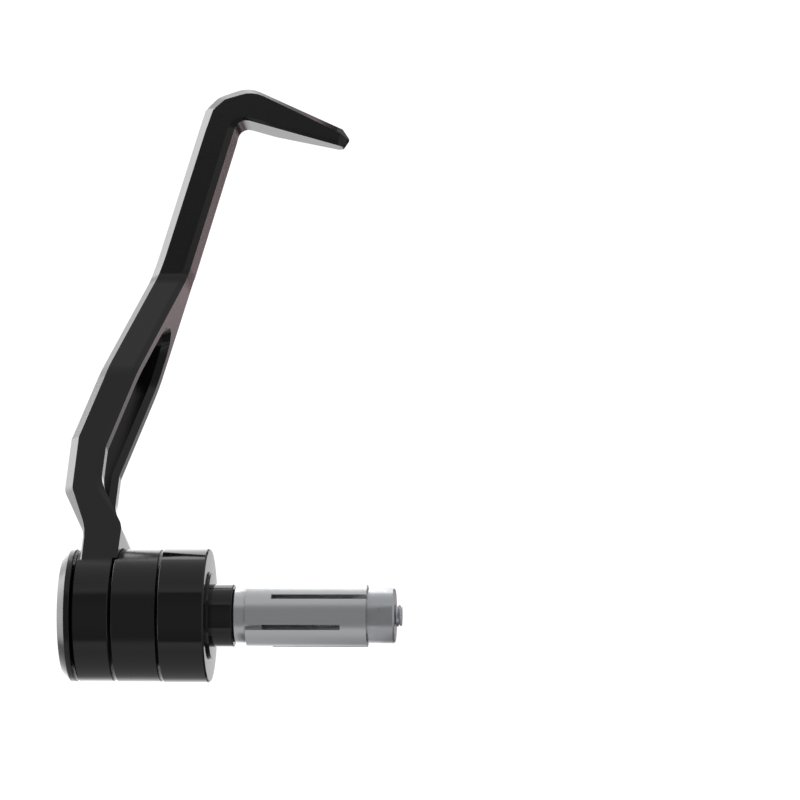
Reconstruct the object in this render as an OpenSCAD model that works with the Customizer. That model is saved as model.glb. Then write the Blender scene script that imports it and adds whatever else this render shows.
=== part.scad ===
// Lever guard for the end of a motorcycle handlebar, in millimetres.
// X runs along the handlebar axis, away from the open end and towards the grip.
// Y points forward and Z points up. The origin is the centre of the handlebar's end face.
// The sizes below are measured from the centre of the guard's eye, further out on X.

/* [Eye and rings] */
// Outer diameter of the eye, the end cap and the spacer ring
ring_d = 36.3; // [33:0.1:42]
// Width of the guard's eye
eye_w = 10; // [8:0.1:14]
// Bore of the eye and of the spacer ring
eye_bore_d = 18; // [16.5:0.1:19]
// Shadow gap between neighbouring rings
ring_gap = 0.65; // [0.3:0.05:1.5]
// Diameter of the raised land that keeps each gap open
land_d = 28; // [22:0.5:31]
// Chamfer on the rims of the rings
rim = 0.4; // [0.1:0.05:0.8]
// Radial clearance between a spigot and its bore
spigot_clear = 0.05; // [0.02:0.01:0.2]
// Width of the spacer ring
spacer_w = 12.1; // [8:0.1:20]
// How far the inner collar stands proud of the other rings
collar_proud = 0.3; // [0:0.05:1]
// Width of the inner collar
collar_w = 12.5; // [8:0.1:20]

/* [End cap] */
// Straight rim of the end cap
cap_rim_w = 1.5; // [1:0.1:4]
// Chamfer round the face of the end cap
cap_chamfer = 2.05; // [0.5:0.1:3.5]
// Length of the cap's spigot, through the eye and into the spacer ring
cap_spigot_l = 14; // [11:0.5:15]
// Length of the collar's spigot inside the spacer ring
collar_spigot_l = 8; // [4:0.5:8]
// Diameter of the pocket for the screw head
pocket_d = 11.6; // [11.2:0.1:13]

/* [Legs and blade, seen from above] */
// Sideways place of the blade's inner wall at the root bend
root_in_x = 6.95; // [5.8:0.1:8]
// Forward place of the root bend
root_y = 22.4; // [20:0.2:24]
// Sideways place of the inner wall at the bend nearest the bar's end
knee_in_x = 0.25; // [-2:0.05:2]
// Forward place of that bend
knee_y = 36; // [34:0.5:40]
// Sideways place of the inner wall where the legs turn inboard
kink_in_x = 0.8; // [-1:0.05:3]
// Forward place of the turn inboard
kink_y = 47; // [45:0.1:52]
// Sideways place of the inner wall at the elbow
elbow_in_x = 19.7; // [16:0.1:24]
// Forward place of the elbow
elbow_y = 108.2; // [103:0.5:112]
// Sideways place of the blade's inner corner
corner_in_x = 31.85; // [28:0.1:36]
// Forward place of the blade's inner corner
corner_y = 155.1; // [148:0.1:160]
// Sideways place of the tip
tip_x = 61.2; // [55:0.1:70]
// Forward place of the tip's inner edge
tip_y = 146.1; // [140:0.1:150]
// Width of the blade
blade_w = 10.2; // [9:0.1:13]
// Width of the blade at its tip
tip_w = 5.8; // [4:0.1:8]

/* [Legs and blade, seen from the side] */
// Half the distance between the outer faces of the two legs
leg_half = 15.7; // [14.5:0.1:17]
// Downward slope of the legs
droop = 11.2; // [8:0.1:14]
// Height of one leg
leg_h = 5.3; // [4:0.1:7]
// Forward place where the upper leg starts its taper
upper_taper_y = 70.5; // [66:0.5:76]
// Forward place where the lower leg starts its taper
lower_taper_y = 76.2; // [72:0.5:80]
// Forward place where the taper ends and the blade runs level
level_y = 104.6; // [100:0.2:110]
// Height of the blade's upper face above the bar axis, below it when negative
blade_top_z = -15.6; // [-18:0.1:-12]
// Height of the blade
blade_h = 8.8; // [8:0.1:13]
// Height of the blade at its tip
tip_h = 4.9; // [4:0.1:8]
// Forward place of the window's end at the root
window_y = 27; // [25:0.5:34]
// Radius of the window's end at the elbow
window_r = 7.0; // [4:0.1:8]
// Fillet between a leg and the eye
root_fillet = 9; // [4:0.5:12]

/* [Edges] */
// How far the foot of the inner wall stands out past its top, on the legs
leg_lean = 0.3; // [0:0.05:0.6]
// How far the foot of the inner wall stands out past its top, on the blade
blade_lean = 0.55; // [0:0.05:0.8]
// Chamfer along the outer edges of the blade
outer_chamfer = 2.35; // [1:0.05:3]
// Width of the shallow bevel along the inner edges
bevel_w = 1.8; // [0.8:0.1:2.5]
// Depth of the shallow bevel along the inner edges
bevel_h = 0.8; // [0.3:0.05:1.2]

/* [Fastener and expander] */
// Diameter of the screw
screw_d = 6; // [5:0.5:6]
// Length of the screw below its head
screw_l = 80; // [70:1:90]
// Diameter of the screw's head
head_d = 10; // [9.5:0.1:10.5]
// Height of the screw's head
head_h = 6; // [5:0.1:6.5]
// Width across flats of the screw's hexagon socket
socket_af = 5; // [4:0.5:6]
// Depth of the hexagon socket
socket_depth = 3; // [2:0.1:3.5]
// Thickness of the washer under the head
washer_t = 1.6; // [1:0.1:2]
// Radial clearance round the screw
screw_clear = 0.3; // [0.1:0.05:0.5]
// Diameter of the collar's step, a sliding fit in the handlebar
step_d = 17.2; // [15:0.1:18]
// Depth of the collar's step inside the handlebar
step_l = 6; // [4:0.5:8]
// Outer diameter of the expander sleeve before it is tightened
sleeve_d = 17; // [15:0.1:17.2]
// Length of the expander sleeve
sleeve_l = 33; // [24:1:36]
// Bore of the expander sleeve
sleeve_bore_d = 11; // [9:0.1:12]
// Width of the saw cuts in the sleeve
cut_w = 1.5; // [1:0.1:2]
// How far the first saw cut is turned away from straight ahead, in degrees
cut_turn = 8; // [0:1:60]
// Number of saw cuts from each end of the sleeve
cut_count = 3; // [2:1:3]
// Outer diameter of the two cones
cone_d = 15; // [14:0.1:15.6]
// Length of the tapered part of each cone
cone_l = 5; // [4:0.1:7]
// How far each cone's thick end stands out of the sleeve
cone_gap = 0.6; // [0.3:0.1:1]
// Straight length behind the taper of the front cone
cone_base_l = 3; // [2:0.1:6]
// Straight length behind the taper of the nut
nut_base_l = 7; // [5:0.1:10]
// Diameter of the ring face that rests on the handlebar's end
seat_d = 24; // [22:0.5:27]

/* [Hidden] */
anodised = [0.10, 0.10, 0.105];
steel = [0.62, 0.63, 0.65];
alloy = [0.70, 0.71, 0.73];
round_fn = 96;
arc_steps = 5;
far = 60;

// Places along the handlebar axis, worked out from the face of the eye inwards
eye_out_x = -eye_w / 2;
eye_in_x = eye_w / 2;
cap_x = eye_out_x - ring_gap;
cap_face_x = cap_x - cap_rim_w - cap_chamfer;
spacer_x = eye_in_x + ring_gap;
spacer_end_x = spacer_x + spacer_w;
collar_x = spacer_end_x + ring_gap;
collar_end_x = collar_x + collar_w;
seat_x = collar_end_x + ring_gap;
head_seat_x = cap_x + cap_spigot_l - (eye_bore_d / 2 - pocket_d / 2);
cone_x = seat_x + step_l;
taper_x = cone_x + cone_base_l;
sleeve_x = taper_x + cone_gap;
sleeve_end_x = sleeve_x + sleeve_l;
nut_taper_x = sleeve_end_x + cone_gap;
nut_end_x = nut_taper_x + nut_base_l;
spigot_r = eye_bore_d / 2 - spigot_clear;
screw_hole_r = screw_d / 2 + screw_clear;
// A cone meets the mouth of the sleeve along its whole taper
cone_thin_r = cone_d / 2 - (cone_d / 2 - sleeve_bore_d / 2) * 0.9;
cone_slope = (cone_d / 2 - cone_thin_r) / cone_l;
mouth_r = cone_d / 2 - cone_slope * cone_gap + spigot_clear;
mouth_l = (mouth_r - sleeve_bore_d / 2) / cone_slope;

// Plane geometry
function unit(v) = v / norm(v);
function turned(p, c, a) = [
    c.x + (p.x - c.x) * cos(a) - (p.y - c.y) * sin(a),
    c.y + (p.x - c.x) * sin(a) + (p.y - c.y) * cos(a)];
// Points of the arc of radius r that rounds corner b between a and c
function corner_arc(a, b, c, r) =
    let (u = unit(a - b), v = unit(c - b))
    let (half = acos(u * v) / 2)
    let (centre = b + unit(u + v) * r / sin(half))
    let (start = b + u * r / tan(half), end = b + v * r / tan(half))
    let (s = start - centre, e = end - centre)
    let (sweep = (atan2(e.y, e.x) - atan2(s.y, s.x) + 540) % 360 - 180)
    [for (k = [0:arc_steps]) turned(start, centre, sweep * k / arc_steps)];
// A path through corners given as [x, y, radius]; its two ends stay sharp
function rounded(c) = [
    for (i = [0:len(c) - 1])
        let (b = [c[i].x, c[i].y])
        each (i == 0 || i == len(c) - 1) ? [b]
            : corner_arc([c[i - 1].x, c[i - 1].y], b, [c[i + 1].x, c[i + 1].y], c[i][2])];
function closed_rounded(c) = [
    for (i = [0:len(c) - 1])
        let (p = c[(i + len(c) - 1) % len(c)], n = c[(i + 1) % len(c)])
        each corner_arc([p.x, p.y], [c[i].x, c[i].y], [n.x, n.y], c[i][2])];
function swapped(path) = [for (p = path) [p.y, p.x]];
function sorted(a) = len(a) < 2 ? a
    : let (m = a[floor(len(a) / 2)])
    concat(sorted([for (v = a) if (v < m) v]), [m], sorted([for (v = a) if (v > m) v]));
function thinned(a, least, i = 0, kept = []) = i == len(a) ? kept
    : thinned(a, least, i + 1,
        (len(kept) == 0 || a[i] - kept[len(kept) - 1] >= least) ? concat(kept, [a[i]]) : kept);
// The length of a path up to each of its points, and the point at a share of its length
function run(path, i) = i == 0 ? 0 : run(path, i - 1) + norm(path[i] - path[i - 1]);
function at_share(path, t) =
    let (runs = [for (i = [0:len(path) - 1]) run(path, i)])
    let (s = t * runs[len(path) - 1])
    [lookup(s, [for (i = [0:len(path) - 1]) [runs[i], path[i].x]]),
     lookup(s, [for (i = [0:len(path) - 1]) [runs[i], path[i].y]])];

// The bow seen from above: its inner and outer walls
root_start_y = 4;
leg_dir = unit([elbow_in_x - kink_in_x, elbow_y - kink_y]);
blade_dir = unit([corner_in_x - elbow_in_x, corner_y - elbow_y]);
tip_dir = unit([tip_x - corner_in_x, tip_y - corner_y]);
// A wall's outward side is a quarter turn to the left of its direction
function left_of(d) = [-d.y, d.x];
// The corner of the outer wall where two stretches, both blade_w thick, meet
function outer_corner(p, d, e) = p + blade_w * (left_of(d) + left_of(e)) / (1 + left_of(d) * left_of(e));
knee_dir = unit([kink_in_x - knee_in_x, kink_y - knee_y]);
root_dir = unit([knee_in_x - root_in_x, knee_y - root_y]);
outer_knee = outer_corner([knee_in_x, knee_y], root_dir, knee_dir) + [0.15, -0.3];
outer_kink = outer_corner([kink_in_x, kink_y], knee_dir, leg_dir) + [0.1, 0.9];
outer_elbow = outer_corner([elbow_in_x, elbow_y], leg_dir, blade_dir);
outer_tip = [tip_x, tip_y] + tip_w * left_of(tip_dir) - [0.5, 0];
// Two flats turn the outer corner, in steps from the end of the straight wall
corner_start = [corner_in_x, corner_y] + blade_w * left_of(blade_dir) + 0.6 * blade_dir;
corner_flat = corner_start + [3.7, 4];
outer_peak = corner_flat + [8.8, 3.3];
inner_wall = rounded([
    [eye_w / 2 + 0.9, root_start_y, 0],
    [root_in_x, root_y, 5],
    [knee_in_x, knee_y, 9],
    [kink_in_x, kink_y, 4],
    [elbow_in_x, elbow_y, 14],
    [corner_in_x, corner_y, 0]]);
outer_wall = rounded([
    [-eye_w / 2 + 0.9, root_start_y, 0],
    [-eye_w / 2 + 1.5, root_y - 2.1, 6],
    [outer_knee.x, outer_knee.y, 5],
    [outer_kink.x, outer_kink.y, 2],
    [outer_elbow.x, outer_elbow.y, 4],
    [corner_start.x, corner_start.y, 0]]);
inner_x = swapped(inner_wall);
outer_x = swapped(outer_wall);

// The bow seen from the side, as paths of [forward, height]
function face_z(side, y) = (side * leg_half - y * sin(droop)) / cos(droop);
// The fillet's foot sinks a little into the eye, so that the two surfaces cross cleanly
foot_depth = 0.2;
fillet_run = sqrt(pow(ring_d / 2 - foot_depth + root_fillet, 2) - pow(leg_half + root_fillet, 2));
// Points along the legs' own slope, turned to forward and height
function on_slope(along, across) = [
    along * cos(droop) + across * sin(droop),
    across * cos(droop) - along * sin(droop)];
// The fillet rolls along the eye and ends on the leg's face
function fillet_points(side) =
    let (a = atan2(leg_half + root_fillet, fillet_run))
    [for (k = [0:arc_steps])
        let (b = a + (90 - a) * k / arc_steps)
        on_slope(fillet_run - root_fillet * cos(b), side * (leg_half + root_fillet * (1 - sin(b))))];
upper_face = concat([[root_start_y, face_z(1, root_start_y)]], fillet_points(1), rounded([
    [upper_taper_y - 14, face_z(1, upper_taper_y - 14), 0],
    [upper_taper_y, face_z(1, upper_taper_y), 18],
    [level_y, blade_top_z, 8],
    [far * 3, blade_top_z, 0]]));
lower_face = concat([[root_start_y - 6, face_z(-1, root_start_y - 6)]], fillet_points(-1), rounded([
    [lower_taper_y - 14, face_z(-1, lower_taper_y - 14), 0],
    [lower_taper_y, face_z(-1, lower_taper_y), 16],
    [level_y + 0.9, blade_top_z - blade_h, 10],
    [far * 3, blade_top_z - blade_h, 0]]));
function top_z(y) = lookup(y, upper_face);
function low_z(y) = lookup(y, lower_face);

roof_slope = (blade_top_z - face_z(1, upper_taper_y)) / (level_y - upper_taper_y);

// Stations along the arm where any wall or face bends
arm_end_y = corner_y - 6;
stations = thinned(sorted([
    for (p = concat(swapped(inner_wall), swapped(outer_wall), upper_face, lower_face))
        if (p.x >= root_start_y && p.x <= arm_end_y) p.x]), 0.3);
// The outer chamfer fades out at the root, and the inner bevel stops short of it
taper_cos = cos(atan(roof_slope));
function chamfer_at(y) = outer_chamfer * lookup(y, [
    [root_y - 2.4, 0.17], [root_y + 5.6, 1], [upper_taper_y - 3, 1],
    [upper_taper_y + 3, taper_cos], [level_y - 3, taper_cos], [level_y + 2, 1]]);
function lean_at(y) = lookup(y, [
    [root_y, 0], [knee_y, leg_lean], [lower_taper_y, leg_lean], [level_y, blade_lean]]);
function bevel_at(y) = lookup(y, [[root_y + 5.2, 0.03], [root_y + 5.8, 1]]);

// One section of the bow: eight corners round from the outer wall's foot
function section(outer, inner, top, low, chamfer, bw, bh, lean = 0) =
    let (d = unit(inner - outer))
    let (o2 = outer + d * chamfer, i2 = inner - d * bw, foot = inner + d * lean)
    [[outer.x, outer.y, low + chamfer],
     [outer.x, outer.y, top - chamfer],
     [o2.x, o2.y, top],
     [i2.x, i2.y, top],
     [inner.x, inner.y, top - bh],
     [foot.x, foot.y, low + bh],
     [i2.x, i2.y, low],
     [o2.x, o2.y, low]];
arm_sections = [
    for (y = stations)
        section([lookup(y, outer_x), y], [lookup(y, inner_x), y], top_z(y), low_z(y),
            chamfer_at(y), bevel_w * bevel_at(y), bevel_h * bevel_at(y), lean_at(y))];
// Round the corner and along the tip the sections fan out; the tip's underside rises
fan_outer = rounded([
    [lookup(arm_end_y, outer_x), arm_end_y, 0],
    [corner_start.x, corner_start.y, 2],
    [corner_flat.x, corner_flat.y, 2.5],
    [outer_peak.x, outer_peak.y, 8],
    [outer_tip.x, outer_tip.y, 0]]);
fan_inner = rounded([
    [lookup(arm_end_y, inner_x), arm_end_y, 0],
    [corner_in_x, corner_y, 3.4],
    [tip_x, tip_y, 0]]);
fan_steps = 30;
function fan_height(t) = blade_h + (tip_h - blade_h) * max(0, (t - 0.45) / 0.55);
fan_sections = [
    for (k = [1:fan_steps])
        let (t = k / fan_steps, h = fan_height(t))
        section(at_share(fan_outer, t), at_share(fan_inner, t), blade_top_z, blade_top_z - h,
            outer_chamfer * lookup(t, [[0, 1], [0.15, 1.1], [0.45, 1.2], [1, 0.9]]),
            bevel_w * (1 - 0.4 * t), bevel_h, blade_lean * max(0, 1 - 5 * t))];
// The nose closes the tip with a small bevelled end
nose_sections = [
    section(outer_tip + [1.9, -3], [tip_x, tip_y] + [1.4, -0.1],
        blade_top_z - 0.3 * tip_h, blade_top_z - 0.8 * tip_h, 0.5, 0.4, 0.3)];

// A closed solid through a list of sections with the same number of corners
module loft(sections) {
    n = len(sections[0]);
    last = len(sections) - 1;
    polyhedron(
        points = [for (s = sections) each s],
        faces = concat(
            [[for (i = [0:n - 1]) i]],
            [[for (i = [n - 1:-1:0]) last * n + i]],
            [for (k = [0:last - 1]) for (i = [0:n - 1])
                let (j = (i + 1) % n)
                each [[k * n + i, (k + 1) * n + i, (k + 1) * n + j],
                      [k * n + i, (k + 1) * n + j, k * n + j]]]));
}

// The window between the legs, as a closed path of [forward, height]
function roof_z(y) = top_z(y) - leg_h;
function floor_z(y) = low_z(y) + leg_h;
floor_slope = (blade_top_z - blade_h - face_z(-1, lower_taper_y)) / (level_y + 0.9 - lower_taper_y);
roof_knee = [upper_taper_y, face_z(1, upper_taper_y) - leg_h];
floor_knee = [lower_taper_y, face_z(-1, lower_taper_y) + leg_h];
apex_y = (floor_knee.y - roof_knee.y + roof_slope * roof_knee.x - floor_slope * floor_knee.x)
    / (roof_slope - floor_slope);
apex_z = roof_knee.y + roof_slope * (apex_y - roof_knee.x);
window_corners = closed_rounded([
    [window_y, face_z(1, window_y) - leg_h, 5],
    [roof_knee.x, roof_knee.y, 18],
    [apex_y, apex_z, window_r],
    [floor_knee.x, floor_knee.y, 16],
    [window_y, face_z(-1, window_y) + leg_h, 5]]);
// The long sides get extra points, so that the cut follows the walls' bends
side_step = 2.5;
window_path = [
    for (i = [0:len(window_corners) - 1])
        let (a = window_corners[i], b = window_corners[(i + 1) % len(window_corners)])
        let (n = max(1, ceil(norm(b - a) / side_step)))
        for (k = [0:n - 1]) a + (b - a) * k / n];
function grown(path, by) = [
    for (i = [0:len(path) - 1])
        let (a = path[(i + len(path) - 1) % len(path)], b = path[(i + 1) % len(path)])
        let (d = unit(b - a))
        path[i] + by * [-d.y, d.x]];
function window_ring(grow, x_of) = [
    for (p = grown(window_path, grow)) [x_of(p.x), p.x, p.y]];
flare = bevel_h / bevel_w;
past = 1.5;
window_sections = [
    window_ring(flare * (bevel_w + past), function (y) far / 2),
    window_ring(flare * (bevel_w + past), function (y) lookup(y, inner_x) + past),
    window_ring(0, function (y) lookup(y, inner_x) - bevel_w),
    window_ring(0, function (y) lookup(y, outer_x) + bevel_w),
    window_ring(flare * (bevel_w + past), function (y) lookup(y, outer_x) - past),
    window_ring(flare * (bevel_w + past), function (y) -far / 2)];

// Moves a piece from the eye's frame to the frame of the handlebar's end
module from_bar_end() {
    translate([-seat_x, 0, 0]) children();
}
// A turned piece: a profile of [along X, radius] points spun about the bar axis
module turned_piece(profile) {
    rotate([0, 90, 0]) rotate([0, 0, 90])
        rotate_extrude($fn = round_fn) polygon([for (p = profile) [p.y, p.x]]);
}
// A round bar along X
module bar(x0, x1, r) {
    translate([x0, 0, 0]) rotate([0, 90, 0]) cylinder(h = x1 - x0, r = r, $fn = round_fn);
}

module guard_bow() {
    r = ring_d / 2;
    color(anodised) from_bar_end() difference() {
        union() {
            turned_piece([
                [eye_out_x, 0], [eye_out_x, r - rim], [eye_out_x + rim, r],
                [eye_in_x - rim, r], [eye_in_x, r - rim], [eye_in_x, 0]]);
            loft(concat(arm_sections, fan_sections, nose_sections));
        }
        loft(window_sections);
        bar(eye_out_x - 1, eye_in_x + 1, eye_bore_d / 2);
        // Room beside the eye for the spacer ring
        bar(eye_in_x, eye_in_x + 6, r + ring_gap / 2);
        bar(eye_out_x - 6, eye_out_x, r + ring_gap);
    }
}

module end_cap() {
    r = ring_d / 2;
    spigot_end_x = cap_x + cap_spigot_l;
    color(anodised) from_bar_end() difference() {
        turned_piece([
            [cap_face_x, 0], [cap_face_x, r - cap_chamfer], [cap_face_x + cap_chamfer, r],
            [cap_x - rim, r], [cap_x, r - rim], [cap_x, land_d / 2], [eye_out_x, land_d / 2],
            [eye_out_x, spigot_r], [spigot_end_x - rim, spigot_r], [spigot_end_x, spigot_r - rim],
            [spigot_end_x, 0]]);
        bar(cap_face_x - 1, head_seat_x, pocket_d / 2);
        bar(cap_face_x - 1, spigot_end_x + 1, screw_hole_r);
        turned_piece([
            [cap_face_x - 1, 0], [cap_face_x - 1, pocket_d / 2 + rim + 1],
            [cap_face_x + rim, pocket_d / 2], [cap_face_x + rim, 0]]);
    }
}

module screw_washer() {
    color(steel) from_bar_end() difference() {
        bar(head_seat_x - washer_t, head_seat_x, head_d / 2 + 0.5);
        bar(head_seat_x - washer_t - 1, head_seat_x + 1, screw_d / 2 + 0.2);
    }
}

module cap_screw() {
    under_x = head_seat_x - washer_t;
    top_x = under_x - head_h;
    color(steel) from_bar_end() difference() {
        turned_piece([
            [top_x, 0], [top_x, head_d / 2 - rim], [top_x + rim, head_d / 2],
            [under_x, head_d / 2], [under_x, screw_d / 2], [under_x + screw_l - rim, screw_d / 2],
            [under_x + screw_l, screw_d / 2 - rim], [under_x + screw_l, 0]]);
        translate([top_x - 1, 0, 0]) rotate([0, 90, 0])
            cylinder(h = socket_depth + 1, d = socket_af / cos(30), $fn = 6);
    }
}

module spacer_ring() {
    r = ring_d / 2;
    color(anodised) from_bar_end() difference() {
        turned_piece([
            [eye_in_x, 0], [eye_in_x, land_d / 2], [spacer_x, land_d / 2], [spacer_x, r - rim],
            [spacer_x + rim, r], [spacer_end_x - rim, r], [spacer_end_x, r - rim],
            [spacer_end_x, 0]]);
        bar(eye_in_x - 1, spacer_end_x + 1, eye_bore_d / 2);
    }
}

module inner_collar() {
    r = ring_d / 2 + collar_proud;
    spigot_x = spacer_end_x - collar_spigot_l;
    step_r = step_d / 2;
    color(anodised) from_bar_end() difference() {
        turned_piece([
            [spigot_x, 0], [spigot_x, spigot_r - rim], [spigot_x + rim, spigot_r],
            [spacer_end_x, spigot_r], [spacer_end_x, land_d / 2], [collar_x, land_d / 2],
            [collar_x, r - rim], [collar_x + rim, r], [collar_end_x - 2 * rim, r],
            [collar_end_x, r - 2 * rim], [collar_end_x, seat_d / 2], [seat_x, seat_d / 2],
            [seat_x, step_r], [cone_x - rim, step_r], [cone_x, step_r - rim], [cone_x, 0]]);
        bar(spigot_x - 1, cone_x + 1, screw_hole_r);
    }
}

module front_cone() {
    color(alloy) from_bar_end() difference() {
        turned_piece([
            [cone_x, 0], [cone_x, cone_d / 2 - rim], [cone_x + rim, cone_d / 2],
            [taper_x, cone_d / 2], [taper_x + cone_l, cone_thin_r], [taper_x + cone_l, 0]]);
        bar(cone_x - 1, taper_x + cone_l + 1, screw_hole_r);
    }
}

module expander_sleeve() {
    cut_l = sleeve_l - mouth_l - 2;
    color(alloy) from_bar_end() difference() {
        bar(sleeve_x, sleeve_end_x, sleeve_d / 2);
        turned_piece([
            [sleeve_x - 1, 0], [sleeve_x - 1, mouth_r + cone_slope],
            [sleeve_x + mouth_l, sleeve_bore_d / 2], [sleeve_end_x - mouth_l, sleeve_bore_d / 2],
            [sleeve_end_x + 1, mouth_r + cone_slope], [sleeve_end_x + 1, 0]]);
        for (i = [0:cut_count - 1]) {
            rotate([cut_turn + 360 * i / cut_count, 0, 0])
                translate([sleeve_x - 1, 0, -cut_w / 2]) cube([cut_l + 1, sleeve_d, cut_w]);
            rotate([cut_turn + 360 * (i + 0.5) / cut_count, 0, 0])
                translate([sleeve_end_x - cut_l, 0, -cut_w / 2]) cube([cut_l + 1, sleeve_d, cut_w]);
        }
    }
}

module taper_nut() {
    color(steel) from_bar_end() difference() {
        turned_piece([
            [nut_taper_x - cone_l, 0], [nut_taper_x - cone_l, cone_thin_r],
            [nut_taper_x, cone_d / 2], [nut_end_x - rim, cone_d / 2],
            [nut_end_x, cone_d / 2 - rim], [nut_end_x, 0]]);
        bar(nut_taper_x - cone_l - 1, nut_end_x + 1, screw_d / 2 + spigot_clear);
    }
}

guard_bow();
end_cap();
cap_screw();
screw_washer();
spacer_ring();
inner_collar();
front_cone();
expander_sleeve();
taper_nut();
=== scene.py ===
"""Lever guard with its rings and expander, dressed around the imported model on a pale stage."""

import math

import bpy
from mathutils import Matrix, Vector


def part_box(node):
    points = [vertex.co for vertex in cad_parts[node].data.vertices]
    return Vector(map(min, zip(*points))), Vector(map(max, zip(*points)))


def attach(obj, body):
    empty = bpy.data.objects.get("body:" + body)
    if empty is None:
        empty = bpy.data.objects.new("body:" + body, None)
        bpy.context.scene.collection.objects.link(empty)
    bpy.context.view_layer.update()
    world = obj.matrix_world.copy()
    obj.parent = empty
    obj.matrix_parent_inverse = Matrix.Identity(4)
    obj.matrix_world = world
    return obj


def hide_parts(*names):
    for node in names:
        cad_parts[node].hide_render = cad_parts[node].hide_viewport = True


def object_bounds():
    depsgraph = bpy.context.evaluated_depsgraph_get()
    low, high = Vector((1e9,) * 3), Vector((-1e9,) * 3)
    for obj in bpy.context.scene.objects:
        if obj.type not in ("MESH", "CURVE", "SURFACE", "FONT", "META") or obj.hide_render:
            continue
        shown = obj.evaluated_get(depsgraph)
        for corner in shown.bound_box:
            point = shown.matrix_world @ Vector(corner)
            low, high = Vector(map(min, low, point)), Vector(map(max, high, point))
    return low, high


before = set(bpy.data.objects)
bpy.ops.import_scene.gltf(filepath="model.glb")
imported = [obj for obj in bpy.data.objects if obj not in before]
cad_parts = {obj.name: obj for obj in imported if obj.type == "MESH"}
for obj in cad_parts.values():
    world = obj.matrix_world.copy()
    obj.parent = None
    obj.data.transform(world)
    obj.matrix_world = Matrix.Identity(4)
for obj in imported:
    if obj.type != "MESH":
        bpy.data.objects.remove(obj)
CAD_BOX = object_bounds()

bl_info = {
    "name": "Lever Guard",
    "version": (1, 0, 0),
    "blender": (4, 5, 0),
    "location": "View3D > Sidebar > Guard",
    "description": "Finishes the packed lever guard and lights it on a pale stage",
    "category": "Object",
}

MM = 0.001

# Facets round a turned piece, and round one turn of the thread
TURNED_FACETS, THREAD_FACETS = 256, 32

# Points nearer than this are one point; the cut thread leaves some a little further apart
SAME_POINT, SAME_CUT_POINT = 0.002 * MM, 0.015 * MM

# Packed faces that meet at less than this angle, in degrees, are one face
SAME_FACE = 0.6

# Sizes that the rings share: the small rim, the land in the gaps, the bore and what fits in it
RIM, LAND_R, BORE_R, FIT_R = 0.2 * MM, 14 * MM, 9 * MM, 8.95 * MM

# The pocket for the screw's head, the hole for its shank, the collar's seat and the step beyond it
POCKET_R, HOLE_R, SEAT_R, STEP_R = 5.8 * MM, 3.3 * MM, 12 * MM, 8.6 * MM

# The screw: its outer radius and its thread's depth, how far the thread's cutter stands out of it,
# and half of the cutter's width as a share of the pitch
SCREW_R, THREAD_DEPTH, CUTTER_OVER, CUTTER_HALF = 3 * MM, 0.61 * MM, 0.2 * MM, 0.49

# The camera in the part's own frame: its place, its right, up and back directions, its lens and
# sensor in millimetres, and its near and far limits in metres
CAMERA_PLACE_MM = (120.67, -292.54, 1030.77)
CAMERA_RIGHT = (0.99792, 0.01850, -0.06179)
CAMERA_UP = (0.00262, 0.94557, 0.32540)
CAMERA_BACK = (0.06444, -0.32489, 0.94355)
CAMERA_LENS, CAMERA_SENSOR = 176.48, 36.0
CAMERA_LIMITS = (0.05, 20.0)

# The long lamp, in metres: its place and aim from the part's middle, its drop below the part and
# its size
LAMP_AWAY, LAMP_FORWARD, LAMP_AIM_FORWARD, LAMP_DROP = 0.75, 0.35, 0.2, 0.28
LAMP_SIZE = (1.4, 0.7)

# The floor's width in metres, and how strongly it glows to the camera alone
FLOOR_SIZE, FLOOR_GLOW = 6.0, 0.93

# The painted reflection that the floor shows to glossy rays alone, from outside the end cap to
# inboard: places in metres along X and levels of red, green and blue. A faint painted warm sheen
# lies beside the blade, and a painted black patch inboard of it.
PAINTED_REFLECTION_SPAN = (-0.05, 0.25)
PAINTED_REFLECTION_LEVELS = (
    (-0.035, (1.0, 1.0, 1.0)),
    (0.06, (0.19, 0.19, 0.19)),
    (0.085, (0.17, 0.165, 0.165)),
    (0.103, (0.35, 0.27, 0.28)),
    (0.129, (0.44, 0.35, 0.36)),
    (0.141, (0.01, 0.01, 0.01)),
    (0.2, (0.01, 0.01, 0.01)),
    (0.22, (0.22, 0.22, 0.22)),
)

# The painted reflection along Y: two places in metres, and how much its levels are dimmed or raised
# there
PAINTED_REFLECTION_REACH, PAINTED_REFLECTION_GAIN = (-0.2, 0.0), (0.53, 2.4)


def linear(hex_colour):
    """Linear colour with alpha for an sRGB hex value such as 1c1c1e."""
    parts = [int(hex_colour[i : i + 2], 16) / 255 for i in (0, 2, 4)]
    levels = [c / 12.92 if c <= 0.04045 else ((c + 0.055) / 1.055) ** 2.4 for c in parts]
    return (*levels, 1.0)


# Small helpers for nodes and meshes


def add_node(tree, kind, settings=None, links=None):
    """Adds a node; settings are sockets or attributes, links maps its inputs to other outputs."""
    made = tree.nodes.new(kind)
    for key, value in (settings or {}).items():
        if isinstance(key, int) or key in made.inputs:
            made.inputs[key].default_value = value
        else:
            setattr(made, key, value)
    for key, output in (links or {}).items():
        tree.links.new(output, made.inputs[key])
    return made


def fill_ramp(ramp, stops):
    """Sets a colour ramp; stops are (position, levels of red, green and blue) pairs."""
    elements = ramp.color_ramp.elements
    while len(elements) > 1:
        elements.remove(elements[0])
    for index, (spot, levels) in enumerate(stops):
        element = elements[0] if index == 0 else elements.new(spot)
        element.position = spot
        element.color = (*levels, 1.0)


def new_material(name):
    """An empty node material and its tree."""
    material = bpy.data.materials.new(name)
    material.use_nodes = True
    material.node_tree.nodes.clear()
    return material, material.node_tree


def finish_material(tree, shader):
    add_node(tree, "ShaderNodeOutputMaterial", links={"Surface": shader.outputs[0]})


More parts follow.
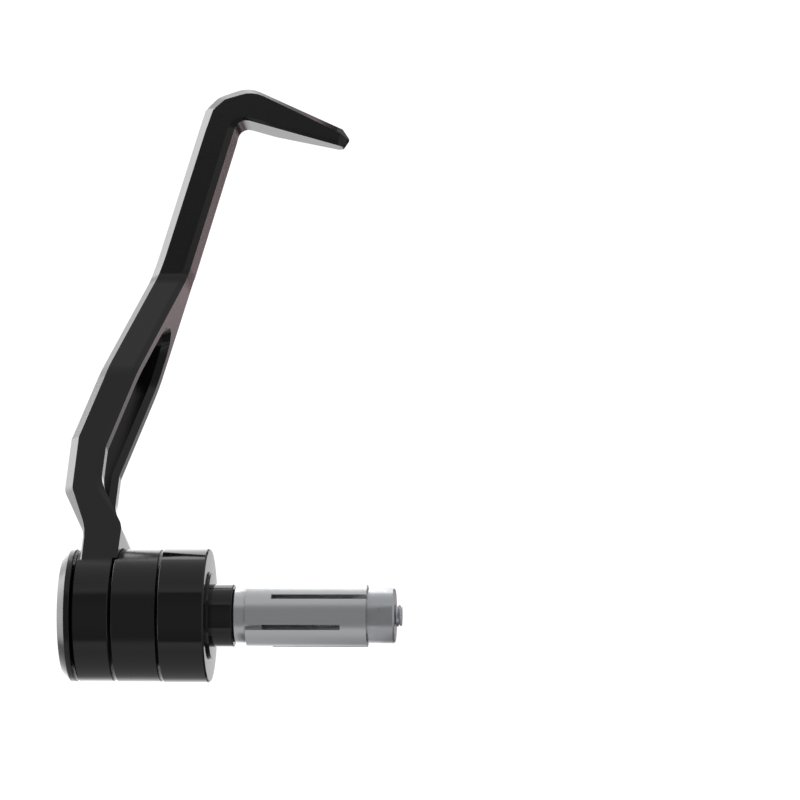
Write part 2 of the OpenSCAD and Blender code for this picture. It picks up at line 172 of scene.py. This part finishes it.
def deselect_all():
    """Leaves object mode with nothing selected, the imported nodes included."""
    if bpy.context.object and bpy.context.object.mode != "OBJECT":
        bpy.ops.object.mode_set(mode="OBJECT")
    bpy.ops.object.select_all(action="DESELECT")


def pick(piece):
    deselect_all()
    piece.select_set(True)
    bpy.context.view_layer.objects.active = piece


def apply_modifier(piece, kind, name, **settings):
    """Adds a modifier with these settings and applies it."""
    modifier = piece.modifiers.new(name, kind)
    for key, value in settings.items():
        setattr(modifier, key, value)
    pick(piece)
    bpy.ops.object.modifier_apply(modifier=name)


def break_edges(piece, width, edge_angle, smooth_angle, **settings):
    """Bevels edges sharper than one angle in degrees, and smooths those flatter than the other."""
    apply_modifier(
        piece,
        "BEVEL",
        "Edge break",
        width=width,
        segments=2,
        limit_method="ANGLE",
        angle_limit=math.radians(edge_angle),
        use_clamp_overlap=True,
        **settings,
    )
    pick(piece)
    bpy.ops.object.shade_smooth_by_angle(angle=math.radians(smooth_angle))
    apply_modifier(piece, "WEIGHTED_NORMAL", "Even faces", keep_sharp=True)


def copy_of_node(node, name):
    """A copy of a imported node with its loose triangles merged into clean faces."""
    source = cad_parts[node]
    piece = source.copy()
    piece.data = source.data.copy()
    piece.name = piece.data.name = name
    for key in [k for k in piece.keys() if k.startswith("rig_")]:
        del piece[key]
    piece.parent = None
    bpy.context.scene.collection.objects.link(piece)
    pick(piece)
    bpy.ops.object.mode_set(mode="EDIT")
    bpy.ops.mesh.select_all(action="SELECT")
    bpy.ops.mesh.remove_doubles(threshold=SAME_POINT)
    bpy.ops.mesh.dissolve_limited(angle_limit=math.radians(SAME_FACE))
    bpy.ops.object.mode_set(mode="OBJECT")
    return piece


def hand_over(piece, material, slot, *nodes):
    """Gives a finished piece its material and its body, and hides the nodes it stands for; the slot
    is not used.
    """
    piece.data.materials.clear()
    piece.data.materials.append(material)
    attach(piece, "root")
    if nodes:
        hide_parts(*nodes)


# Materials


def anodised_milled(colour):
    """Black anodised aluminium, milled and lightly blasted: a deep satin black, finely speckled."""
    material, tree = new_material("black_anodised_milled")
    place = add_node(tree, "ShaderNodeTexCoord")
    # The blasted grain is about 0.12 mm; it is drawn at 0.35 mm so that it shows
    grain = add_node(
        tree,
        "ShaderNodeTexNoise",
        {"Scale": 1 / (0.35 * MM), "Detail": 2.0, "Roughness": 0.6},
        {"Vector": place.outputs["Object"]},
    )
    cloud = add_node(
        tree,
        "ShaderNodeTexNoise",
        {"Scale": 1 / (14 * MM), "Detail": 3.0, "Roughness": 0.5},
        {"Vector": place.outputs["Object"]},
    )
    gloss = add_node(
        tree,
        "ShaderNodeMapRange",
        {"From Min": 0.3, "From Max": 0.7, "To Min": 0.11, "To Max": 0.15},
        {"Value": cloud.outputs["Fac"]},
    )
    bump = add_node(
        tree,
        "ShaderNodeBump",
        {"Strength": 0.5, "Distance": 0.03 * MM},
        {"Height": grain.outputs["Fac"]},
    )
    shader = add_node(
        tree,
        "ShaderNodeBsdfPrincipled",
        {"Base Color": colour, "Metallic": 0.0, "IOR": 1.5},
        {"Roughness": gloss.outputs[0], "Normal": bump.outputs[0]},
    )
    finish_material(tree, shader)
    return material


def anodised_turned(colour, name, roughness):
    """Black anodised aluminium off the lathe: fine rings of tool marks draw the highlights out."""
    material, tree = new_material(name)
    place = add_node(tree, "ShaderNodeTexCoord")
    split = add_node(tree, "ShaderNodeSeparateXYZ", links={0: place.outputs["Object"]})
    # The feed of the lathe is about 0.08 mm a turn; it is drawn at 0.3 mm so that it shows
    feed = add_node(
        tree,
        "ShaderNodeTexNoise",
        {"noise_dimensions": "1D", "Scale": 1 / (0.3 * MM), "Detail": 2.0},
        {"W": split.outputs["X"]},
    )
    bump = add_node(
        tree,
        "ShaderNodeBump",
        {"Strength": 0.1, "Distance": 0.006 * MM},
        {"Height": feed.outputs["Fac"]},
    )
    shader = add_node(
        tree,
        "ShaderNodeBsdfPrincipled",
        {"Base Color": colour, "Metallic": 0.0, "IOR": 1.5, "Roughness": roughness},
        {"Normal": bump.outputs[0]},
    )
    finish_material(tree, shader)
    return material


def zinc_steel():
    """Zinc plated steel: a pale, slightly blue grey metal, a little uneven in its gloss."""
    material, tree = new_material("zinc_plated_steel")
    place = add_node(tree, "ShaderNodeTexCoord")
    cloud = add_node(
        tree,
        "ShaderNodeTexNoise",
        {"Scale": 1 / (3 * MM), "Detail": 3.0},
        {"Vector": place.outputs["Object"]},
    )
    gloss = add_node(
        tree,
        "ShaderNodeMapRange",
        {"From Min": 0.3, "From Max": 0.7, "To Min": 0.25, "To Max": 0.38},
        {"Value": cloud.outputs["Fac"]},
    )
    shader = add_node(
        tree,
        "ShaderNodeBsdfPrincipled",
        {"Base Color": linear("c3c6ca"), "Metallic": 1.0},
        {"Roughness": gloss.outputs[0]},
    )
    finish_material(tree, shader)
    return material


def machined_aluminium():
    """Plain turned aluminium: bright and silky, with rings left by the tool."""
    material, tree = new_material("machined_aluminium")
    place = add_node(tree, "ShaderNodeTexCoord")
    split = add_node(tree, "ShaderNodeSeparateXYZ", links={0: place.outputs["Object"]})
    # This feed is coarser, about 0.1 mm a turn, and it is drawn at 0.4 mm so that it shows
    feed = add_node(
        tree,
        "ShaderNodeTexNoise",
        {"noise_dimensions": "1D", "Scale": 1 / (0.4 * MM), "Detail": 3.0},
        {"W": split.outputs["X"]},
    )
    bump = add_node(
        tree,
        "ShaderNodeBump",
        {"Strength": 0.35, "Distance": 0.01 * MM},
        {"Height": feed.outputs["Fac"]},
    )
    shader = add_node(
        tree,
        "ShaderNodeBsdfPrincipled",
        {"Base Color": linear("d6d8da"), "Metallic": 1.0, "Roughness": 0.32},
        {"Normal": bump.outputs[0]},
    )
    finish_material(tree, shader)
    return material


# Sizes and colours that a user would change


class GuardBowSettings(bpy.types.PropertyGroup):
    """What the bow's finish can be given."""

    edge_break: bpy.props.FloatProperty(
        name="Edge break",
        description="Width of the small bevel on the milled edges",
        default=0.22 * MM,
        min=0.05 * MM,
        max=0.6 * MM,
        precision=5,
        unit="LENGTH",
    )
    colour: bpy.props.FloatVectorProperty(
        name="Dye",
        description="Colour of the anodised layer",
        default=linear("0f0f10")[:3],
        size=3,
        min=0.0,
        max=1.0,
        subtype="COLOR",
    )


class RingSettings(bpy.types.PropertyGroup):
    """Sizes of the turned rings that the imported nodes' boxes don't give."""

    gap: bpy.props.FloatProperty(
        name="Ring gap",
        description="Width of the narrow gaps between the rings",
        default=0.65 * MM,
        min=0.2 * MM,
        max=1.5 * MM,
        precision=5,
        unit="LENGTH",
    )
    cap_head: bpy.props.FloatProperty(
        name="Cap head",
        description="Thickness of the end cap outside the eye",
        default=3.55 * MM,
        min=1 * MM,
        max=8 * MM,
        precision=5,
        unit="LENGTH",
    )
    cap_chamfer: bpy.props.FloatProperty(
        name="Cap chamfer",
        description="Width of the chamfer round the end cap",
        default=2.05 * MM,
        min=0.5 * MM,
        max=4 * MM,
        precision=5,
        unit="LENGTH",
    )
    edge_break: bpy.props.FloatProperty(
        name="Edge break",
        description="Width of the small bevel on the turned edges",
        default=0.08 * MM,
        min=0.02 * MM,
        max=0.4 * MM,
        precision=5,
        unit="LENGTH",
    )


class FastenerSettings(bpy.types.PropertyGroup):
    """Details of the screw and the expander."""

    pitch: bpy.props.FloatProperty(
        name="Pitch",
        description="Distance between two turns of the screw's thread",
        default=1 * MM,
        min=0.5 * MM,
        max=1.5 * MM,
        precision=5,
        unit="LENGTH",
    )
    thread: bpy.props.FloatProperty(
        name="Thread length",
        description="Length of the threaded end of the screw",
        default=24 * MM,
        min=10 * MM,
        max=60 * MM,
        precision=5,
        unit="LENGTH",
    )
    edge_break: bpy.props.FloatProperty(
        name="Edge break",
        description="Width of the small bevel on the metal edges",
        default=0.12 * MM,
        min=0.02 * MM,
        max=0.3 * MM,
        precision=5,
        unit="LENGTH",
    )


class StageSettings(bpy.types.PropertyGroup):
    """The floor, the lights and the surroundings."""

    floor_drop: bpy.props.FloatProperty(
        name="Floor drop",
        description="How far the floor lies below the lowest point of the guard",
        default=300 * MM,
        min=0.0,
        max=1.0,
        unit="LENGTH",
    )
    side_light: bpy.props.FloatProperty(
        name="Side light",
        description="Power of the long lamp beyond the end cap",
        default=12.5,
        min=0.0,
        subtype="POWER",
        unit="POWER",
    )


class OBJECT_OT_guard_bow(bpy.types.Operator):
    """Finishes the milled bow with broken edges and a satin anodised surface"""

    bl_idname = "guard.bow"
    bl_label = "Guard Bow"

    def execute(self, context):
        settings = context.scene.guard_bow
        bow = copy_of_node("guard_bow", "bow_finished")
        break_edges(
            bow, settings.edge_break, edge_angle=28, smooth_angle=17, miter_outer="MITER_ARC"
        )
        hand_over(bow, anodised_milled((*settings.colour, 1.0)), "black_anodised", "guard_bow")
        return {"FINISHED"}


def turned(name, profile, edge_break):
    """A piece turned about the X axis: one circle carried round a closed profile of (x, radius)."""
    deselect_all()
    x, r = profile[0]
    bpy.ops.mesh.primitive_circle_add(
        vertices=TURNED_FACETS, radius=r, rotation=(0, math.pi / 2, 0)
    )
    piece = bpy.context.object
    piece.name = piece.data.name = name
    bpy.ops.object.transform_apply(location=False, rotation=True, scale=False)
    bpy.ops.object.mode_set(mode="EDIT")
    bpy.ops.mesh.select_all(action="SELECT")
    bpy.ops.transform.translate(value=(x, 0, 0))
    for next_x, next_r in profile[1:] + profile[:1]:
        bpy.ops.mesh.extrude_region_move(TRANSFORM_OT_translate={"value": (next_x - x, 0, 0)})
        bpy.ops.transform.resize(value=(1, next_r / r, next_r / r), center_override=(next_x, 0, 0))
        x, r = next_x, next_r
    bpy.ops.mesh.select_all(action="SELECT")
    bpy.ops.mesh.remove_doubles(threshold=SAME_POINT)
    bpy.ops.mesh.normals_make_consistent(inside=False)
    bpy.ops.object.mode_set(mode="OBJECT")
    break_edges(piece, edge_break, edge_angle=20, smooth_angle=24)
    return piece


class OBJECT_OT_guard_rings(bpy.types.Operator):
    """Models the three turned rings again with fine facets, broken edges and an anodised finish"""

    bl_idname = "guard.rings"
    bl_label = "Rings"

    def execute(self, context):
        colour = (*context.scene.guard_bow.colour, 1.0)
        settings = context.scene.guard_rings
        satin = anodised_turned(colour, "black_anodised_turned", 0.23)
        # The end cap: a chamfered head with a recess for the screw, and a spigot through the eye
        low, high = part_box("end_cap")
        r, face, back = min(high.y, -low.y), low.x, high.x
        head = face + settings.cap_head
        slope = settings.cap_chamfer
        cone_x = back - (BORE_R - POCKET_R)
        cap = turned(
            "end_cap_finished",
            [
                (face, POCKET_R + RIM),
                (face, r - slope),
                (face + slope, r),
                (head - RIM, r),
                (head, r - RIM),
                (head, LAND_R),
                (head + settings.gap, LAND_R),
                (head + settings.gap, FIT_R),
                (back - RIM, FIT_R),
                (back, FIT_R - RIM),
                (back, HOLE_R),
                (cone_x, HOLE_R),
                (cone_x, POCKET_R),
                (face + RIM, POCKET_R),
            ],
            settings.edge_break,
        )
        hand_over(cap, satin, "black_anodised", "end_cap")
        # The spacer ring: a plain ring whose outer end stands off the eye by the gap
        low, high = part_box("spacer_ring")
        r, x = min(high.y, -low.y), low.x + settings.gap
        spacer = turned(
            "spacer_ring_finished",
            [
                (low.x, BORE_R),
                (low.x, LAND_R),
                (x, LAND_R),
                (x, r - RIM),
                (x + RIM, r),
                (high.x - RIM, r),
                (high.x, r - RIM),
                (high.x, BORE_R),
            ],
            settings.edge_break,
        )
        hand_over(spacer, satin, "black_anodised", "spacer_ring")
        # The inner collar: a spigot in the spacer, the ring itself, its seat and the step beyond it
        low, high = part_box("inner_collar")
        r, x = min(high.y, -low.y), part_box("spacer_ring")[1].x
        collar = turned(
            "inner_collar_finished",
            [
                (low.x, HOLE_R),
                (low.x, FIT_R - RIM),
                (low.x + RIM, FIT_R),
                (x, FIT_R),
                (x, LAND_R),
                (x + settings.gap, LAND_R),
                (x + settings.gap, r - RIM),
                (x + settings.gap + RIM, r),
                (-settings.gap - 2 * RIM, r),
                (-settings.gap, r - 2 * RIM),
                (-settings.gap, SEAT_R),
                (0, SEAT_R),
                (0, STEP_R),
                (high.x - RIM, STEP_R),
                (high.x, STEP_R - RIM),
                (high.x, HOLE_R),
            ],
            settings.edge_break,
        )
        polished = anodised_turned(colour, "black_anodised_polished", 0.09)
        hand_over(collar, polished, "black_anodised", "inner_collar")
        return {"FINISHED"}


def thread_cutter(start, end, radius, pitch):
    """A closed ridge wound about the X axis, which cuts a screw thread between two places."""
    deselect_all()
    bpy.ops.mesh.primitive_circle_add(vertices=3, radius=1.0)
    piece = bpy.context.object
    piece.name = piece.data.name = "thread_cutter"
    crest, root, half = radius + CUTTER_OVER, radius - THREAD_DEPTH, CUTTER_HALF * pitch
    corners = ((start, root), (start - half, crest), (start + half, crest))
    for vertex, (x, r) in zip(piece.data.vertices, corners):
        vertex.co = (x, 0, r)
    turns = int((end - start) / pitch) + 1
    apply_modifier(
        piece,
        "SCREW",
        "Helix",
        axis="X",
        screw_offset=pitch,
        iterations=turns,
        steps=THREAD_FACETS,
        render_steps=THREAD_FACETS,
        use_smooth_shade=False,
    )
    pick(piece)
    bpy.ops.object.mode_set(mode="EDIT")
    bpy.ops.mesh.select_all(action="SELECT")
    # Only the turns' own seams are merged, and the two open ends are closed
    bpy.ops.mesh.remove_doubles(threshold=SAME_POINT / 4)
    bpy.ops.mesh.fill_holes(sides=3)
    bpy.ops.mesh.select_all(action="SELECT")
    bpy.ops.mesh.normals_make_consistent(inside=False)
    bpy.ops.object.mode_set(mode="OBJECT")
    return piece


class OBJECT_OT_guard_fastener(bpy.types.Operator):
    """Finishes the screw with its thread, and the washer, cones and expander sleeve"""

    bl_idname = "guard.fastener"
    bl_label = "Fastener"

    def execute(self, context):
        settings = context.scene.guard_fastener
        steel, alloy = zinc_steel(), machined_aluminium()
        for node, material, slot in (
            ("screw_washer", steel, "screw_steel"),
            ("taper_nut", steel, "screw_steel"),
            ("front_cone", alloy, "plain_alloy"),
            ("expander_sleeve", alloy, "plain_alloy"),
        ):
            piece = copy_of_node(node, node + "_finished")
            break_edges(piece, settings.edge_break, edge_angle=28, smooth_angle=24)
            hand_over(piece, material, slot, node)
        # The screw: its head and shank as packed, with a thread cut along its end
        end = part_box("cap_screw")[1].x
        screw = copy_of_node("cap_screw", "cap_screw_finished")
        cutter = thread_cutter(end - settings.thread, end, SCREW_R, settings.pitch)
        apply_modifier(
            screw, "BOOLEAN", "Thread", operation="DIFFERENCE", object=cutter, solver="EXACT"
        )
        bpy.data.objects.remove(cutter)
        # The cut leaves points a few microns apart, which are merged so that the mesh stays closed
        bpy.ops.object.mode_set(mode="EDIT")
        bpy.ops.mesh.select_all(action="SELECT")
        bpy.ops.mesh.remove_doubles(threshold=SAME_CUT_POINT)
        bpy.ops.mesh.quads_convert_to_tris(quad_method="BEAUTY", ngon_method="BEAUTY")
        bpy.ops.object.mode_set(mode="OBJECT")
        bpy.ops.object.shade_smooth_by_angle(angle=math.radians(24))
        hand_over(screw, steel, "screw_steel", "cap_screw")
        return {"FINISHED"}


def stage_floor(low_z, drop):
    """A wide white floor: bright to the camera, yet with the part's shadow; in reflections it shows
    a painted reflection.
    """
    deselect_all()
    bpy.ops.mesh.primitive_plane_add(size=FLOOR_SIZE, location=(0, 0, low_z - drop))
    floor = bpy.context.object
    floor.name = "stage_floor"
    material, tree = new_material("white_paper_painted_reflection")
    # The camera sees the paper glow up to white, less its shadow; the part is lit by plain paper.
    # In reflections the paper glows with a painted reflection: brightest on the side of the long
    # lamp, falling off inboard and towards -Y, with a painted black patch on it inboard of the
    # part.
    path = add_node(tree, "ShaderNodeLightPath")
    place = add_node(tree, "ShaderNodeNewGeometry")
    split = add_node(tree, "ShaderNodeSeparateXYZ", links={0: place.outputs["Position"]})
    start, end = PAINTED_REFLECTION_SPAN
    across = add_node(
        tree,
        "ShaderNodeMapRange",
        {"From Min": start, "From Max": end},
        {"Value": split.outputs["X"]},
    )
    painted_reflection_ramp = add_node(tree, "ShaderNodeValToRGB", links={0: across.outputs[0]})
    fill_ramp(painted_reflection_ramp, [((x - start) / (end - start), levels) for x, levels in PAINTED_REFLECTION_LEVELS])
    near, far = PAINTED_REFLECTION_REACH
    low_gain, high_gain = PAINTED_REFLECTION_GAIN
    gain = add_node(
        tree,
        "ShaderNodeMapRange",
        {"From Min": near, "From Max": far, "To Min": low_gain, "To Max": high_gain},
        {"Value": split.outputs["Y"]},
    )
    paper = add_node(tree, "ShaderNodeBsdfDiffuse", {"Color": linear("f2f2f2")})
    # Painted reflection: a glow that only glossy rays see, patterned along X and Y and brighter
    # than white in places
    painted_reflection = add_node(
        tree,
        "ShaderNodeEmission",
        links={"Color": painted_reflection_ramp.outputs[0], "Strength": gain.outputs[0]},
    )
    lit = add_node(tree, "ShaderNodeBsdfDiffuse", {"Color": linear("8c8c8c")})
    glow = add_node(tree, "ShaderNodeEmission", {"Strength": FLOOR_GLOW})
    bright = add_node(tree, "ShaderNodeAddShader", links={0: lit.outputs[0], 1: glow.outputs[0]})
    around = add_node(
        tree,
        "ShaderNodeMixShader",
        links={0: path.outputs["Is Glossy Ray"], 1: paper.outputs[0], 2: painted_reflection.outputs[0]},
    )
    surface = add_node(
        tree,
        "ShaderNodeMixShader",
        links={0: path.outputs["Is Camera Ray"], 1: around.outputs[0], 2: bright.outputs[0]},
    )
    finish_material(tree, surface)
    floor.data.materials.append(material)


def surroundings():
    """A tent of soft light, white to the camera, that darkens towards the camera's own place."""
    world = bpy.data.worlds.new("tent")
    bpy.context.scene.world = world
    world.use_nodes = True
    tree = world.node_tree
    tree.nodes.clear()
    place = add_node(tree, "ShaderNodeTexCoord")
    towards = add_node(
        tree,
        "ShaderNodeVectorMath",
        {"operation": "DOT_PRODUCT", 1: Vector(CAMERA_BACK).normalized()},
        {0: place.outputs["Generated"]},
    )
    spread = add_node(
        tree,
        "ShaderNodeMapRange",
        {"From Min": -1.0, "From Max": 1.0, "To Min": 0.0, "To Max": 1.0},
        {"Value": towards.outputs["Value"]},
    )
    ramp = add_node(tree, "ShaderNodeValToRGB", links={0: spread.outputs[0]})
    # Each step is the angle from the camera's direction in degrees and the brightness found there
    steps = [
        (180, 1.0),
        (118, 0.95),
        (104, 0.66),
        (84, 0.55),
        (62, 0.51),
        (46, 0.64),
        (43, 0.19),
        (36, 0.22),
        (0, 0.27),
    ]
    fill_ramp(
        ramp, [((1 + math.cos(math.radians(angle))) / 2, [level] * 3) for angle, level in steps]
    )
    sky = add_node(tree, "ShaderNodeBackground", {"Strength": 1.0}, {0: ramp.outputs[0]})
    white = add_node(tree, "ShaderNodeBackground", {"Strength": 1.0, "Color": (1, 1, 1, 1)})
    path = add_node(tree, "ShaderNodeLightPath")
    mixed = add_node(
        tree,
        "ShaderNodeMixShader",
        links={0: path.outputs["Is Camera Ray"], 1: sky.outputs[0], 2: white.outputs[0]},
    )
    add_node(tree, "ShaderNodeOutputWorld", links={"Surface": mixed.outputs[0]})


def add_lamp(name, place, aim, size, power):
    """A rectangular soft lamp at a place, turned to an aim point."""
    data = bpy.data.lights.new(name, "AREA")
    data.shape = "RECTANGLE"
    data.size, data.size_y = size
    data.energy = power
    lamp = bpy.data.objects.new(name, data)
    bpy.context.scene.collection.objects.link(lamp)
    lamp.location = place
    lamp.rotation_euler = (Vector(aim) - Vector(place)).to_track_quat("-Z", "Y").to_euler()
    return lamp


class OBJECT_OT_guard_stage(bpy.types.Operator):
    """Sets the floor, the lamps, the surroundings and the camera"""

    bl_idname = "guard.stage"
    bl_label = "Stage"

    def execute(self, context):
        settings = context.scene.guard_stage
        low, high = CAD_BOX
        middle = (low + high) / 2
        stage_floor(low.z, settings.floor_drop)
        surroundings()
        add_lamp(
            "side_lamp",
            (middle.x - LAMP_AWAY, middle.y + LAMP_FORWARD, low.z - LAMP_DROP),
            (middle.x, middle.y + LAMP_AIM_FORWARD, low.z - LAMP_DROP),
            LAMP_SIZE,
            settings.side_light,
        )
        data = bpy.data.cameras.new("camera")
        data.lens = CAMERA_LENS
        data.sensor_width = CAMERA_SENSOR
        data.clip_start, data.clip_end = CAMERA_LIMITS
        camera = bpy.data.objects.new("camera", data)
        context.scene.collection.objects.link(camera)
        turn = Matrix((CAMERA_RIGHT, CAMERA_UP, CAMERA_BACK)).transposed()
        camera.matrix_world = Matrix.Translation(Vector(CAMERA_PLACE_MM) * MM) @ turn.to_4x4()
        context.scene.camera = camera
        context.scene.view_settings.view_transform = "Standard"
        return {"FINISHED"}


class VIEW3D_PT_guard(bpy.types.Panel):
    """Lists the pieces and their settings"""

    bl_label = "Lever Guard"
    bl_space_type = "VIEW_3D"
    bl_region_type = "UI"
    bl_category = "Guard"

    def draw(self, context):
        layout = self.layout
        for group, operator in (
            (context.scene.guard_bow, "guard.bow"),
            (context.scene.guard_rings, "guard.rings"),
            (context.scene.guard_fastener, "guard.fastener"),
            (context.scene.guard_stage, "guard.stage"),
        ):
            column = layout.column(align=True)
            for name in group.bl_rna.properties.keys():
                if name not in ("rna_type", "name"):
                    column.prop(group, name)
            column.operator(operator)


CLASSES = (
    GuardBowSettings,
    RingSettings,
    FastenerSettings,
    StageSettings,
    OBJECT_OT_guard_bow,
    OBJECT_OT_guard_rings,
    OBJECT_OT_guard_fastener,
    OBJECT_OT_guard_stage,
    VIEW3D_PT_guard,
)


def register():
    for made in CLASSES:
        bpy.utils.register_class(made)
    bpy.types.Scene.guard_bow = bpy.props.PointerProperty(type=GuardBowSettings)
    bpy.types.Scene.guard_rings = bpy.props.PointerProperty(type=RingSettings)
    bpy.types.Scene.guard_fastener = bpy.props.PointerProperty(type=FastenerSettings)
    bpy.types.Scene.guard_stage = bpy.props.PointerProperty(type=StageSettings)


def unregister():
    del bpy.types.Scene.guard_bow
    del bpy.types.Scene.guard_rings
    del bpy.types.Scene.guard_fastener
    del bpy.types.Scene.guard_stage
    for made in reversed(CLASSES):
        bpy.utils.unregister_class(made)


def main():
    """Registers the add-on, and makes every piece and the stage."""
    register()
    bpy.ops.guard.bow()
    bpy.ops.guard.rings()
    bpy.ops.guard.fastener()
    bpy.ops.guard.stage()
    deselect_all()


if __name__ == "__main__":
    main()
